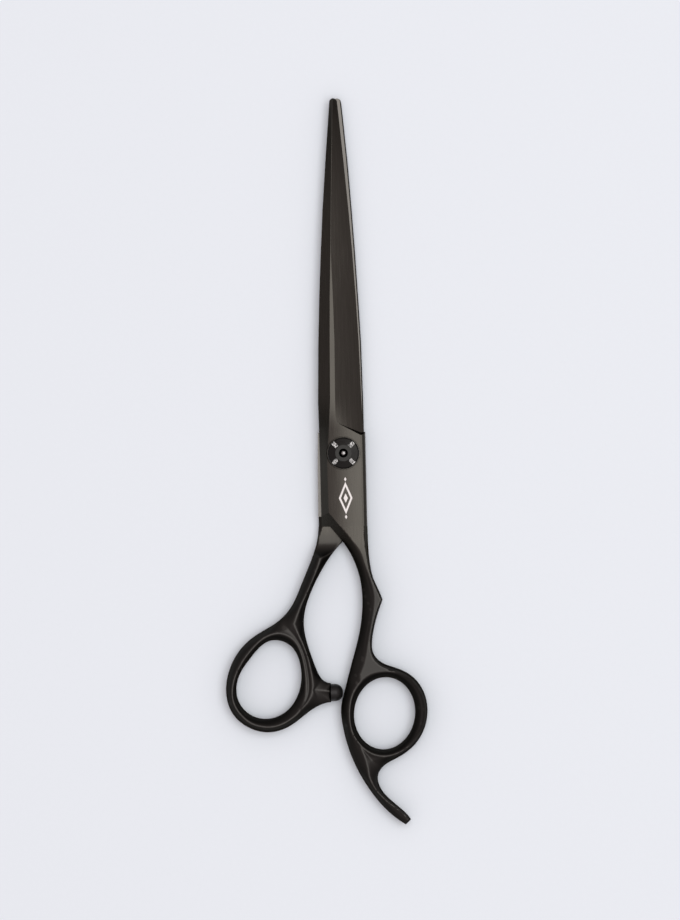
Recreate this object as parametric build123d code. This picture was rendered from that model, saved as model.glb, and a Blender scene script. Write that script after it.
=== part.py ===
"""Hair cutting shears with offset handles and a fixed finger rest, about 7.5 inches long.

The two halves cross at the pivot. The finger half lies on top and holds the finger ring and the finger
rest, and the thumb half lies below and holds the thumb ring and the bumper. Each half is a hardened blade
welded to a handle. The pivot axis is the Z axis, +Y runs along the closed blades towards their tips, and
z = 0 is the table under the closed shears. Millimetres.
"""

from build123d import *
import os

os.makedirs("parts", exist_ok=True)

# ---- driving dimensions: the two halves -----------------------------------------------------------
RIDE_Z = 3.4  # height of the plane in which the blades meet
TOP_Z = 2 * RIDE_Z  # top of the finger half and of both rings
RIDE_GAP = 0.04  # each inner face stands this far from the ride plane
WELD_Y = -21.0  # each blade is welded to its handle here
REACH = 60.0  # half size of a cutting block that has to pass right through a part

# ---- driving dimensions: the blades ---------------------------------------------------------------
EDGE_FLAT = 0.12  # height of the micro bevel along the cutting edge
BEVEL_STEPS = 5  # the convex cutting bevel is ground in this many flats
BEVEL_BULGE = 0.01  # how far its middle stands out, as a share of its width
SPINE_BREAK = 0.35  # chamfer along the spine, on the inner face
PANEL_SIDE = [(1.5, 0.0), (0.95, 0.12), (0.2, 1.3)]  # rounding of the panel's straight side: in, down
TIP_ROUND_R = 1.15
TIP_ROUND_X = -0.55
TIP_ROUND_Y = 100.75
HOLLOW_R = 60.0  # radius of the hollow ground into each inner face
HOLLOW_START_Y = 17.0
HOLLOW_DEPTH = 0.15  # at its start, running out towards the tip
HOLLOW_END_DEPTH = 0.008
TIP_Y = 101.9  # tip of the closed blades

# Sections across a blade: y, spine x, the land's two sides, cutting edge x, thickness, spine wall height.
# x runs from the spine, on the negative side, to the cutting edge, as it does on the finger half.
FINGER_STATIONS = [
    (-3, -6.75, -4.70, -1.95, 6.20, 3.36, 1.55),
    (15, -6.91, -3.45, -2.02, 5.55, 3.32, 1.25),
    (32, -6.43, -3.16, -1.81, 5.15, 3.04, 1.10),
    (45, -5.85, -2.84, -1.97, 4.60, 2.78, 0.95),
    (58, -5.10, -2.33, -2.25, 3.90, 2.48, 0.84),
    (70, -4.32, -1.95, -1.89, 3.10, 2.18, 0.72),
    (84, -3.17, -1.45, -1.39, 2.00, 1.79, 0.56),
    (96, -2.09, -1.02, -0.98, 1.00, 1.45, 0.45),
    (106, -1.20, -0.60, -0.58, 0.10, 1.15, 0.40),
]
THUMB_STATIONS = [
    (-3, -6.00, -4.20, -1.50, 6.60, 3.36, 1.55),
    (15, -6.05, -2.95, -1.60, 5.65, 3.32, 1.25),
    (32, -5.82, -2.80, -1.50, 5.15, 3.04, 1.10),
    (45, -5.29, -2.50, -1.60, 4.60, 2.78, 0.95),
    (58, -4.70, -2.10, -2.02, 3.90, 2.48, 0.84),
    (70, -4.04, -1.80, -1.74, 3.10, 2.18, 0.72),
    (84, -3.16, -1.45, -1.39, 2.00, 1.79, 0.56),
    (96, -2.18, -1.05, -1.01, 1.00, 1.45, 0.45),
    (106, -1.30, -0.65, -0.63, 0.10, 1.15, 0.40),
]
# Sections across the flat pivot panel: y, spine x, top's left side, straight side x, thickness, wall height
FINGER_PANEL = [
    (WELD_Y, -6.75, -4.60, 6.40, 3.36, 1.60),
    (-3, -6.75, -4.70, 6.42, 3.36, 1.55),
    (13, -6.90, -3.60, 6.42, 3.325, 1.28),
]
THUMB_PANEL = [
    (WELD_Y, -6.00, -4.00, 7.65, 3.36, 1.60),
    (-3, -6.00, -4.20, 7.45, 3.36, 1.55),
    (13, -6.05, -3.10, 7.00, 3.325, 1.28),
]
# The panel ends here, and the cutting bevel begins: a straight wall, then a curve up along the land.
PLUNGE_WALL = [(12.0, 5.5), (5.05, 5.05), (0.2, 7.7)]
PLUNGE_BEND = (-1.35, 8.95)
PLUNGE_TOP = (-2.0, 10.9)
PLUNGE_SLOPE = 14.0  # degrees that the wall leans out towards its foot
PANEL_END_Y = 12.9

# The diagonal side of each panel, from the corner at the spine to the crotch between the handles
FINGER_DIAGONAL = [(-6.75, -18.0), (-0.78, -25.4)]
THUMB_DIAGONAL = [(6.0, -17.9), (-0.78, -25.4)]
DIAGONAL_BEVEL_W = 2.3
DIAGONAL_BEVEL_DROP = 1.75
BEVEL_LEAD_IN = 8.0  # the cut starts this far ahead of the corner
BEVEL_CUT_W = 12.0  # the cut reaches this far outside the diagonal side
FINGER_CROTCH_R = 23.0  # in plan, how each bevel curves away beyond the crotch
THUMB_CROTCH_R = 30.0

# The thumb half's straight side is broken towards the weld: where it starts, meets the weld and runs out
HEEL_SIDE = [(-7.62, -18.1), (-7.65, -21.0), (-8.5, -26.5)]
HEEL_BREAK_W = 1.1
HEEL_BREAK_DEPTH = 0.9
HEEL_RUN_OUT = 0.05  # share of its size left at its end

# ---- driving dimensions: the handles --------------------------------------------------------------
RAMP_START_Y = -24.7  # beyond this each handle grows from half to full height
RAMP_LENGTH = 5.0
ROUND_START_Y = -26.5
HANDLE_ROUND = 1.2  # fillet along both rims of a handle and of its ring's hole

FINGER_OUTER_SIDE = [(6.40, -21.0), (6.47, -26.0), (6.90, -32.0), (7.71, -36.0), (9.38, -40.0), (10.25, -42.3)]
FINGER_RING_SIDE = [
    (10.25, -42.3), (8.87, -46.0), (7.69, -50.0), (6.98, -54.0), (7.20, -57.5), (9.60, -60.4), (13.5, -62.0),
    (17.5, -64.0), (20.95, -68.0), (22.4, -74.0), (21.2, -80.0), (18.65, -84.0), (13.05, -88.0), (9.5, -90.0),
    (7.75, -92.6), (8.2, -96.0), (11.3, -100.0), (16.9, -105.6),
]
FINGER_INNER_SIDE = [
    (15.4, -107.0), (9.3, -102.0), (4.75, -96.0), (1.46, -90.0), (-0.76, -84.0), (-2.1, -78.0), (-2.4, -73.0),
    (-1.4, -68.7), (1.05, -60.0), (3.3, -52.0), (4.4, -44.0), (4.2, -38.0), (2.73, -32.0), (-0.78, -25.4),
]
FINGER_HOLE_CENTRE = (10.05, -75.0)
FINGER_HOLE_R = (8.75, 10.4)
FINGER_HOLE_LEAN = -8.0  # degrees

THUMB_INNER_SIDE = [
    (-0.78, -25.4), (-3.23, -28.0), (-6.14, -32.0), (-8.47, -36.0), (-10.4, -40.0), (-11.85, -44.0),
    (-12.55, -49.0), (-11.8, -54.0), (-10.6, -58.0), (-9.2, -62.0), (-7.6, -64.9), (-5.2, -66.0),
]
THUMB_OUTER_SIDE = [
    (-5.2, -71.4), (-8.3, -72.1), (-11.65, -74.0), (-15.5, -76.9), (-19.5, -79.0), (-24.2, -79.6),
    (-29.3, -78.0), (-33.6, -74.0), (-35.3, -68.0), (-34.4, -62.0), (-31.2, -56.0), (-26.8, -52.0),
    (-20.1, -48.0), (-16.2, -44.0), (-13.2, -38.0), (-10.6, -32.0), (-8.4, -26.0), (-7.65, -21.0),
]
THUMB_HOLE = [
    (-20.0, -53.3), (-15.55, -56.0), (-13.75, -61.0), (-14.3, -68.0), (-17.3, -73.0), (-22.5, -75.7),
    (-28.2, -74.7), (-32.0, -70.0), (-31.75, -64.0), (-27.9, -58.0),
]

# ---- driving dimensions: the pivot, from the table up -----------------------------------------------
STUD_R = 2.3
STUD_HEAD_R = 3.9
STUD_HEAD_T = 1.3
STUD_HEAD_FLATS = 6.9  # across the two flats that key the head into the thumb blade
STUD_END_Z = 7.75
STUD_DOME_R = 1.75  # radius of its domed tip
THREAD_R = 1.7
THREAD_FLATS = 2.8  # across the two flats that key the click spring
BUSH_R = 3.1
RUNNING_CLEARANCE = 0.03
GLIDE_R = 5.2
GLIDE_T = 0.5
GLIDE_TOP_Z = RIDE_Z + 0.01  # the glide washer stands a little above its own blade
SEAT_R = 4.9
SEAT_Z = TOP_Z - 0.9
THRUST_R = 4.4
THRUST_T = 0.28
STACK_GAP = 0.02  # between each two pieces of the stack above the seat
SPRING_R = 4.3
SPRING_T = 0.25
SPRING_BUMP_R = 0.3
SPRING_BUMP_RING_R = 3.1
SPRING_LEAVES = 4
SPRING_SLOT_R = 2.4  # the slots between the leaves start here
SPRING_SLOT_W = 0.7
DIAL_R = 4.5
DIAL_BOTTOM_Z = 6.56
DIAL_TOP_Z = 8.8
DIAL_RIM_Z = 8.2  # the top falls to this height at the rim
DIAL_ROUND = 0.5
DIAL_GROOVE_W = 1.0
DIAL_GROOVE_DEPTH = 0.45
DIAL_BOSS_R = 1.95
DIAL_DISH_R = 2.35
DIAL_DISH_DEPTH = 0.25
DIAL_SIGHT_R = 1.3
DIAL_THREAD_END_Z = 7.95
DIAL_SLOTS = 4
DIAL_SLOT_W = 1.1
DIAL_SLOT_L = 1.7
DIAL_SLOT_RING_R = 3.4
DIAL_SLOT_DEPTH = 0.8

# ---- driving dimensions: the bumper -----------------------------------------------------------------
BUMPER_Y = -68.7
BUMPER_R = 2.5
BUMPER_FACE_X = -5.2  # end of the boss on the thumb handle
BUMPER_END_X = -1.75  # the pad's nose ends just short of the finger handle
BUMPER_ROUND = 2.3
BUMPER_STUD_R = 0.9
BUMPER_STUD_X = (-8.4, -3.0)


# ---- shared shapes ----------------------------------------------------------------------------------
def flat_face(points):
    """Return a flat face with straight sides through the points."""
    return Face(Wire.make_polygon(points, close=True))


def disc(radius, z_low, z_high, x=0.0, y=0.0):
    """Return an upright cylinder between two heights."""
    return Pos(x, y, (z_low + z_high) / 2) * Cylinder(radius, z_high - z_low)


def block(x_low, x_high, y_low, y_high, z_low, z_high):
    """Return a box from its lowest and highest corners."""
    middle = ((x_low + x_high) / 2, (y_low + y_high) / 2, (z_low + z_high) / 2)
    return Pos(*middle) * Box(x_high - x_low, y_high - y_low, z_high - z_low)


def flip(shape):
    """Turn a shape over about the line along the blades in the ride plane, so top becomes bottom."""
    return Pos(0, 0, TOP_Z) * Rot(0, 180, 0) * shape


# ---- blades -----------------------------------------------------------------------------------------
def bevelled_section(y, spine_x, land_left_x, land_right_x, edge_x, thickness, wall):
    """Return the blade's section ahead of the pivot: spine bevel, narrow land, convex cutting bevel."""
    low = RIDE_Z + RIDE_GAP
    width = edge_x - land_right_x
    drop = thickness - EDGE_FLAT
    bevel = []
    for step in range(BEVEL_STEPS + 1):
        share = step / BEVEL_STEPS
        bulge = 4 * share * (1 - share) * BEVEL_BULGE * width
        bevel.append((land_right_x + share * width, low + thickness - share * drop + bulge))
    corners = [
        (spine_x + SPINE_BREAK, low),
        (spine_x, low + SPINE_BREAK),
        (spine_x, low + wall),
        (land_left_x, low + thickness),
        *bevel,
        (edge_x, low),
    ]
    return flat_face([(x, y, z) for x, z in corners])


def panel_section(y, spine_x, top_left_x, side_x, thickness, wall):
    """Return the section round the pivot: spine bevel, flat top and one upright side."""
    low = RIDE_Z + RIDE_GAP
    corners = [
        (spine_x + SPINE_BREAK, low),
        (spine_x, low + SPINE_BREAK),
        (spine_x, low + wall),
        (top_left_x, low + thickness),
        *[(side_x - inward, low + thickness - down) for inward, down in PANEL_SIDE],
        (side_x, low),
    ]
    return flat_face([(x, y, z) for x, z in corners])


def panel_region():
    """Return a tall block over the part of a blade that keeps its full width and flat top."""
    bend = ThreePointArc(PLUNGE_WALL[-1], PLUNGE_BEND, PLUNGE_TOP)
    sides = Polyline(
        PLUNGE_TOP,
        (PLUNGE_TOP[0], PANEL_END_Y),
        (-REACH, PANEL_END_Y),
        (-REACH, -REACH),
        (PLUNGE_WALL[0][0], -REACH),
        *PLUNGE_WALL,
    )
    top = Pos(0, 0, TOP_Z) * make_face(bend + sides)
    return extrude(top, -RIDE_Z - 1, taper=-PLUNGE_SLOPE)


def tip_block():
    """Return what is cut away beyond the tip to round it in plan."""
    beyond = block(-REACH, REACH, TIP_ROUND_Y, TIP_ROUND_Y + REACH, -REACH, REACH)
    return beyond - disc(TIP_ROUND_R, -2 * REACH, 2 * REACH, TIP_ROUND_X, TIP_ROUND_Y)


def hollow_cut():
    """Return the shallow cylinder ground out of the inner face, running out towards the tip."""
    run = TIP_Y - HOLLOW_START_Y
    length = run + REACH
    start = Vector(TIP_ROUND_X, HOLLOW_START_Y, RIDE_Z + RIDE_GAP + HOLLOW_DEPTH - HOLLOW_R)
    along = Vector(0, run, HOLLOW_END_DEPTH - HOLLOW_DEPTH)
    return Solid.make_cylinder(HOLLOW_R, length, Plane(origin=start, z_dir=along))


def diagonal_bevel(diagonal, crotch_r):
    """Return the wedge along the top of the finger half's diagonal side, curving away past the crotch."""
    (x0, y0), (x1, y1) = diagonal
    crotch = Vector(x1, y1, 0)
    along = (crotch - Vector(x0, y0, 0)).normalized()
    inward = Vector(-along.Y, along.X, 0)
    start = Vector(x0, y0, 0) - along * BEVEL_LEAD_IN
    rise = Vector(0, 0, 1)
    low = start + rise * (TOP_Z - DIAGONAL_BEVEL_DROP)
    high = start + inward * DIAGONAL_BEVEL_W + rise * TOP_Z
    slope = high - low
    outward = -inward * BEVEL_CUT_W
    section = flat_face([low - slope, high + slope, high + slope + outward, low - slope + outward])
    wedge = Solid.extrude(section, crotch - start)
    axis = crotch - inward * crotch_r
    cone = Cone(crotch_r - DIAGONAL_BEVEL_W, crotch_r + 2 * DIAGONAL_BEVEL_W, 3 * DIAGONAL_BEVEL_DROP)
    return wedge + Pos(axis.X, axis.Y, TOP_Z - DIAGONAL_BEVEL_DROP / 2) * cone


def heel_section(place, share):
    """Return the three-cornered section of the cut that breaks the thumb half's straight side."""
    x, y = place
    low = RIDE_Z - RIDE_GAP
    width = share * HEEL_BREAK_W
    depth = share * HEEL_BREAK_DEPTH
    corners = [(x - width, low - 2 * depth), (x + 3 * width, low + 2 * depth), (x - width, low + 2 * depth)]
    return flat_face([(across, y, height) for across, height in corners])


def blade(stations, panel, diagonal, crotch_r):
    """Return one whole blade with its panel, its inner face down, as on the finger half."""
    bevelled = loft([bevelled_section(*station) for station in stations], ruled=True)
    broad = loft([panel_section(*station) for station in panel], ruled=True) & panel_region()
    (x0, y0), (x1, y1) = diagonal
    beside = flat_face([(x0, y0), (x1, y1), (-REACH, y1), (-REACH, y0)])
    waste = extrude(beside, REACH) + tip_block() + hollow_cut()
    return bevelled + broad - waste - diagonal_bevel(diagonal, crotch_r)


def finger_blade():
    """Return the upper blade, bored for the bush and sunk for the tension dial."""
    shape = blade(FINGER_STATIONS, FINGER_PANEL, FINGER_DIAGONAL, FINGER_CROTCH_R)
    shape -= disc(BUSH_R, 0, TOP_Z)
    return shape - disc(SEAT_R, SEAT_Z, TOP_Z + 1)


def thumb_blade():
    """Return the lower blade, with the keyed seat for the stud's head and the glide washer's recess."""
    turned_diagonal = [(-x, y) for x, y in THUMB_DIAGONAL]
    shape = flip(blade(THUMB_STATIONS, THUMB_PANEL, turned_diagonal, THUMB_CROTCH_R))
    start, weld, end = HEEL_SIDE
    shape -= loft([heel_section(start, 1), heel_section(weld, 1)], ruled=True)
    shape -= disc(STUD_R, -1, TOP_Z)
    shape -= stud_head()
    return shape - disc(GLIDE_R, GLIDE_TOP_Z - GLIDE_T, TOP_Z)


# ---- handles ----------------------------------------------------------------------------------------
def weld_point(diagonal):
    """Return the point of a panel's diagonal side that lies on the weld line."""
    (x0, y0), (x1, y1) = diagonal
    return (x0 + (x1 - x0) * (WELD_Y - y0) / (y1 - y0), WELD_Y)


def rounded(handle):
    """Round every rim of a handle that lies beyond its ramp, on both faces."""
    rims = [
        edge
        for edge in handle.edges()
        if edge.bounding_box().size.Z < 0.01
        and edge.bounding_box().max.Y < ROUND_START_Y
        and min(abs(edge.center().Z), abs(edge.center().Z - TOP_Z)) < 0.01
    ]
    return fillet(rims, HANDLE_ROUND)


def ramp_cut():
    """Return what is cut from above a handle's thin end, with a hollow ramp up to full height."""
    low = RIDE_Z - RIDE_GAP
    rise = TOP_Z - low
    radius = (RAMP_LENGTH**2 + rise**2) / (2 * rise)
    half_length = RAMP_LENGTH / 2
    half_rise = radius - (radius**2 - half_length**2) ** 0.5
    end_y = RAMP_START_Y - RAMP_LENGTH
    ramp = ThreePointArc(
        (0, RAMP_START_Y, low),
        (0, RAMP_START_Y - half_length, low + half_rise),
        (0, end_y, TOP_Z),
    )
    rest = Polyline((0, end_y, TOP_Z), (0, end_y, 9), (0, 0, 9), (0, 0, low), (0, RAMP_START_Y, low))
    return Pos(-REACH, 0, 0) * Solid.extrude(make_face(ramp + rest).face(), Vector(2 * REACH, 0, 0))


def finger_handle():
    """Return the finger half's handle: shank with its pointed notch, finger ring and finger rest."""
    crotch = FINGER_DIAGONAL[1]
    outline = Spline(*FINGER_OUTER_SIDE) + Spline(*FINGER_RING_SIDE)
    outline += Line(FINGER_RING_SIDE[-1], FINGER_INNER_SIDE[0])
    outline += Spline(*FINGER_INNER_SIDE)
    outline += Polyline(crotch, weld_point(FINGER_DIAGONAL), FINGER_OUTER_SIDE[0])
    hole = Pos(*FINGER_HOLE_CENTRE) * Rot(0, 0, FINGER_HOLE_LEAN) * Ellipse(*FINGER_HOLE_R)
    body = extrude(make_face(outline), TOP_Z) - extrude(hole, TOP_Z)
    return rounded(body - flip(ramp_cut())) - diagonal_bevel(FINGER_DIAGONAL, FINGER_CROTCH_R)


def thumb_handle():
    """Return the thumb half's handle: shank, thumb ring and the boss that carries the bumper."""
    crotch = THUMB_DIAGONAL[1]
    outline = Spline(*THUMB_INNER_SIDE) + Line(THUMB_INNER_SIDE[-1], THUMB_OUTER_SIDE[0])
    outline += Spline(*THUMB_OUTER_SIDE)
    outline += Polyline(THUMB_OUTER_SIDE[-1], weld_point(THUMB_DIAGONAL), crotch)
    hole = make_face(Spline(*THUMB_HOLE, periodic=True))
    body = extrude(make_face(outline), TOP_Z) - extrude(hole, TOP_Z)
    turned_diagonal = [(-x, y) for x, y in THUMB_DIAGONAL]
    bevel = flip(diagonal_bevel(turned_diagonal, THUMB_CROTCH_R))
    start, weld, end = HEEL_SIDE
    heel = loft([heel_section(weld, 1), heel_section(end, HEEL_RUN_OUT)], ruled=True)
    return rounded(body - ramp_cut()) - bevel - heel - bumper_stud()


# ---- pivot hardware ---------------------------------------------------------------------------------
def between_flats(width, z_low, z_high):
    """Return the block that leaves two parallel flats on a round part."""
    return block(-width / 2, width / 2, -REACH, REACH, z_low, z_high)


def stud_head():
    """Return the stud's round head with the two flats that stop it turning in the thumb blade."""
    return disc(STUD_HEAD_R, 0, STUD_HEAD_T) & between_flats(STUD_HEAD_FLATS, 0, STUD_HEAD_T)


def pivot_stud():
    """Return the stud that holds the halves together: flush head, plain shank, flatted threaded end."""
    shank = disc(STUD_R, STUD_HEAD_T, SEAT_Z)
    end = disc(THREAD_R, SEAT_Z, STUD_END_Z) & Pos(0, 0, STUD_END_Z - STUD_DOME_R) * Sphere(STUD_DOME_R)
    keyed_end = end & between_flats(THREAD_FLATS, SEAT_Z, STUD_END_Z)
    return stud_head() + shank + keyed_end


def pivot_bush():
    """Return the plain bearing pressed into the finger blade, in which the stud turns."""
    low = RIDE_Z + RIDE_GAP
    return disc(BUSH_R, low, SEAT_Z) - disc(STUD_R + RUNNING_CLEARANCE, low, SEAT_Z)


def glide_washer():
    """Return the slippery washer let into the thumb blade, on which the finger blade rides."""
    low = GLIDE_TOP_Z - GLIDE_T
    return disc(GLIDE_R, low, GLIDE_TOP_Z) - disc(STUD_R, low, GLIDE_TOP_Z)


def thrust_washer():
    """Return the washer on the floor of the seat, under the click spring."""
    low = SEAT_Z + STACK_GAP
    return disc(THRUST_R, low, low + THRUST_T) - disc(THREAD_R, low, low + THRUST_T)


def click_spring():
    """Return the keyed leaf whose four bumps click into the underside of the dial."""
    low = SEAT_Z + THRUST_T + 2 * STACK_GAP
    keyway = disc(THREAD_R, low, low + SPRING_T) & between_flats(THREAD_FLATS, low, low + SPRING_T)
    leaf = disc(SPRING_R, low, low + SPRING_T) - keyway
    bump = Pos(SPRING_BUMP_RING_R, 0, low + SPRING_T) * Sphere(SPRING_BUMP_R)
    bump &= block(0, REACH, -REACH, REACH, low, REACH)
    slot = block(SPRING_SLOT_R, REACH, -SPRING_SLOT_W / 2, SPRING_SLOT_W / 2, low, low + SPRING_T)
    for turn in range(SPRING_LEAVES):
        angle = 360 / SPRING_LEAVES * turn
        leaf += Rot(0, 0, angle) * bump
        leaf -= Rot(0, 0, angle + 180 / SPRING_LEAVES) * slot
    return leaf


def adjuster_dial():
    """Return the round tension nut: sloping top, dished round a raised centre, four slots for the key."""
    slope = Pos(0, 0, (DIAL_RIM_Z + DIAL_TOP_Z) / 2) * Cone(DIAL_R, DIAL_DISH_R, DIAL_TOP_Z - DIAL_RIM_Z)
    dial = disc(DIAL_R, DIAL_BOTTOM_Z, DIAL_RIM_Z) + slope
    rim = dial.edges().filter_by(lambda edge: abs(edge.center().Z - DIAL_RIM_Z) < EDGE_FLAT)
    dial = fillet(rim, DIAL_ROUND)
    dish = disc(DIAL_DISH_R, DIAL_TOP_Z - DIAL_DISH_DEPTH, DIAL_TOP_Z)
    dial -= dish - disc(DIAL_BOSS_R, DIAL_BOTTOM_Z, DIAL_TOP_Z)
    dial -= disc(THREAD_R + RUNNING_CLEARANCE, DIAL_BOTTOM_Z, DIAL_THREAD_END_Z)
    dial -= disc(DIAL_SIGHT_R, DIAL_THREAD_END_Z, DIAL_TOP_Z)
    groove_top = DIAL_BOTTOM_Z + DIAL_GROOVE_DEPTH
    groove = disc(SPRING_BUMP_RING_R + DIAL_GROOVE_W / 2, DIAL_BOTTOM_Z, groove_top)
    dial -= groove - disc(SPRING_BUMP_RING_R - DIAL_GROOVE_W / 2, DIAL_BOTTOM_Z, groove_top)
    slot = Pos(DIAL_SLOT_RING_R, 0, DIAL_TOP_Z - DIAL_SLOT_DEPTH / 2) * Box(
        DIAL_SLOT_L, DIAL_SLOT_W, DIAL_SLOT_DEPTH
    )
    for turn in range(DIAL_SLOTS):
        dial -= Rot(0, 0, 360 / DIAL_SLOTS * (turn + 0.5)) * slot
    return dial


# ---- bumper -----------------------------------------------------------------------------------------
def lying_rod(radius, x_low, x_high):
    """Return a cylinder along X at the bumper's height."""
    middle = Pos((x_low + x_high) / 2, BUMPER_Y, RIDE_Z)
    return middle * Rot(0, 90, 0) * Cylinder(radius, x_high - x_low)


def bumper_stud():
    """Return the short post screwed into the boss, which carries the bumper."""
    return lying_rod(BUMPER_STUD_R, *BUMPER_STUD_X)


def bumper_pad():
    """Return the rubber bumper with its rounded nose and the blind hole for its post."""
    pad = lying_rod(BUMPER_R, BUMPER_FACE_X, BUMPER_END_X)
    pad = fillet(pad.edges().group_by(Axis.X)[-1], BUMPER_ROUND)
    return pad - bumper_stud()


PARTS = {
    "finger_blade": finger_blade,
    "finger_handle": finger_handle,
    "thumb_blade": thumb_blade,
    "thumb_handle": thumb_handle,
    "pivot_stud": pivot_stud,
    "pivot_bush": pivot_bush,
    "glide_washer": glide_washer,
    "thrust_washer": thrust_washer,
    "click_spring": click_spring,
    "adjuster_dial": adjuster_dial,
    "bumper_stud": bumper_stud,
    "bumper_pad": bumper_pad,
}
for name, build in PARTS.items():
    export_step(build(), f"parts/{name}.step")
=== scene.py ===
# %% [markdown]
# Hair cutting shears: the looks
#
# The CAD part already holds every piece of the shears at its true size, and it arrives here as a fixed
# frame. This script dresses it. Blades, pivot and bumper keep their CAD shapes and get their finishes. The
# two handles, which a maker files and polishes by hand from forged blanks, are rebuilt as sculpted skins.

import math

import bmesh
import bpy
import numpy as np
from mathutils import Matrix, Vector
from mathutils.bvhtree import BVHTree
from mathutils.geometry import delaunay_2d_cdt


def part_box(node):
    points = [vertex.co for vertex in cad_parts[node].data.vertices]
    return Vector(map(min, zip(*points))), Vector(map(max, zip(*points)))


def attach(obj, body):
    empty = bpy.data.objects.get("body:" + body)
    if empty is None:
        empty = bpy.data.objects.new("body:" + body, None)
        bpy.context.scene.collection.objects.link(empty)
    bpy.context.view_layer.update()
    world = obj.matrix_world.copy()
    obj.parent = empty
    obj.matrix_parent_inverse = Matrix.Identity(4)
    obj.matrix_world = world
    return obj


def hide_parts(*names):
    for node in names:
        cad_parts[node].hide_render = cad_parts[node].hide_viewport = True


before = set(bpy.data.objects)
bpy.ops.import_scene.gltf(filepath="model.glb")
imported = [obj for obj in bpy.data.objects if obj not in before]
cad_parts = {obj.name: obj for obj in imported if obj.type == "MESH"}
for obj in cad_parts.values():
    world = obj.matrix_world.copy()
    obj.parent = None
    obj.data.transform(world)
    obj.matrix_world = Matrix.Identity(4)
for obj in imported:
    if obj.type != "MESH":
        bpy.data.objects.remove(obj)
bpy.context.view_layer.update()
MM = 0.001

# %% [markdown]
# The heights of the two halves
#
# The halves ride on each other halfway up, so each handle is sculpted outwards from that middle plane. The
# blades' packed boxes give every height, and nothing is measured twice.

# %% Read the heights from the CAD boxes
TOP_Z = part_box("finger_blade")[1].z / MM
RIDE_Z = TOP_Z / 2
WELD_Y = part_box("finger_blade")[0].y / MM
print(f"top {TOP_Z:.2f} mm, ride plane {RIDE_Z:.2f} mm, weld at y = {WELD_Y:.2f} mm")

# %% [markdown]
# Writing finishes as sums
#
# A procedural finish is mostly arithmetic on noise and positions. Wiring Math nodes one by one hides that,
# so one small class wraps a socket and lets Python operators add the nodes. A second class holds the tree of
# one finish, and its node method adds any other node: settings first, the two stops of a colour ramp among
# them, then values or links.

# %% Sockets that can be added and multiplied
class Reading:
    """One output of a finish's nodes; each operator on it adds one Math node."""

    def __init__(self, finish, socket):
        self.finish = finish
        self.socket = socket

    def maths(self, operation, *values):
        return self.finish.node("Math", {"operation": operation}, dict(enumerate(values)))

    def __add__(self, other):
        return self.maths("ADD", self, other)

    def __radd__(self, other):
        return self.maths("ADD", other, self)

    def __sub__(self, other):
        return self.maths("SUBTRACT", self, other)

    def __rsub__(self, other):
        return self.maths("SUBTRACT", other, self)

    def __mul__(self, other):
        return self.maths("MULTIPLY", self, other)

    def __rmul__(self, other):
        return self.maths("MULTIPLY", other, self)

    def __gt__(self, other):
        return self.maths("GREATER_THAN", self, other)

    def __lt__(self, other):
        return self.maths("LESS_THAN", self, other)


# %% The bench on which one finish is made
def pick(sockets, name):
    """Find a socket by its place, its identifier or its name."""
    if isinstance(name, int):
        return sockets[name]
    for socket in sockets:
        if socket.identifier == name:
            return socket
    return sockets[name]


class Finish:
    """The node tree of one finish: a material's, or the surround's."""

    def __init__(self, name, kind="materials"):
        self.holder = getattr(bpy.data, kind).new(name)
        self.holder.use_nodes = True
        self.tree = self.holder.node_tree
        self.tree.nodes.clear()

    def node(self, kind, settings=None, inputs=None, output=0):
        """Add a node: its settings first, then the values or links of its sockets."""
        made = self.tree.nodes.new("ShaderNode" + kind)
        for setting, value in (settings or {}).items():
            if setting == "stops":
                for element, (stop, shade) in zip(made.color_ramp.elements, value):
                    element.position = stop
                    element.color = shade
            else:
                setattr(made, setting, value)
        for name, value in (inputs or {}).items():
            socket = pick(made.inputs, name)
            if isinstance(value, Reading):
                self.tree.links.new(value.socket, socket)
            else:
                socket.default_value = value
        return Reading(self, pick(made.outputs, output))

    def surface(self, **inputs):
        """Close the finish with a Principled surface; underscores in the names stand for spaces."""
        named = {name.replace("_", " "): value for name, value in inputs.items()}
        shader = self.node("BsdfPrincipled", None, named)
        return self.close("OutputMaterial", shader)

    def close(self, kind, shader):
        """Link a shader to the output and return what holds the finish."""
        out = self.tree.nodes.new("ShaderNode" + kind)
        self.tree.links.new(shader.socket, out.inputs["Surface"])
        return self.holder


# %% [markdown]
# Measures that every finish needs
#
# Object coordinates are metres in the shears' own frame, so a scratch has a real width and stays on its
# piece when the shears open. They are scaled to millimetres once. Noise is asked for by the size of its
# grains, stretched along y where a wheel has ground the metal lengthwise.

# %% Places, grains and colours
def place(finish):
    """Return the position on the piece in millimetres."""
    coordinate = finish.node("TexCoord", output="Object")
    return finish.node("VectorMath", {"operation": "SCALE"}, {0: coordinate, "Scale": 1 / MM})


def grains(finish, position, size, detail=3.0, rough=0.55):
    """Return noise from 0 to 1 whose grains are size millimetres long on x, y and z."""
    scale = tuple(1 / side for side in size)
    stretched = finish.node("VectorMath", {"operation": "MULTIPLY"}, {0: position, 1: scale})
    sockets = {"Vector": stretched, "Scale": 1.0, "Detail": detail, "Roughness": rough}
    return finish.node("TexNoise", None, sockets, "Fac")


def ramp(finish, value, low, high):
    """Return value remapped so that low reads 0 and high reads 1."""
    sockets = {"Value": value, "From Min": low, "From Max": high}
    return finish.node("MapRange", {"clamp": True}, sockets)


def blend_colours(finish, share, first, second):
    """Return a colour between two others."""
    sockets = {"Factor_Float": share, "A_Color": first, "B_Color": second}
    return finish.node("Mix", {"data_type": "RGBA"}, sockets, "Result_Color")


def colour(red, green, blue):
    """Return a linear colour with full alpha."""
    return (red, green, blue, 1.0)


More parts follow.
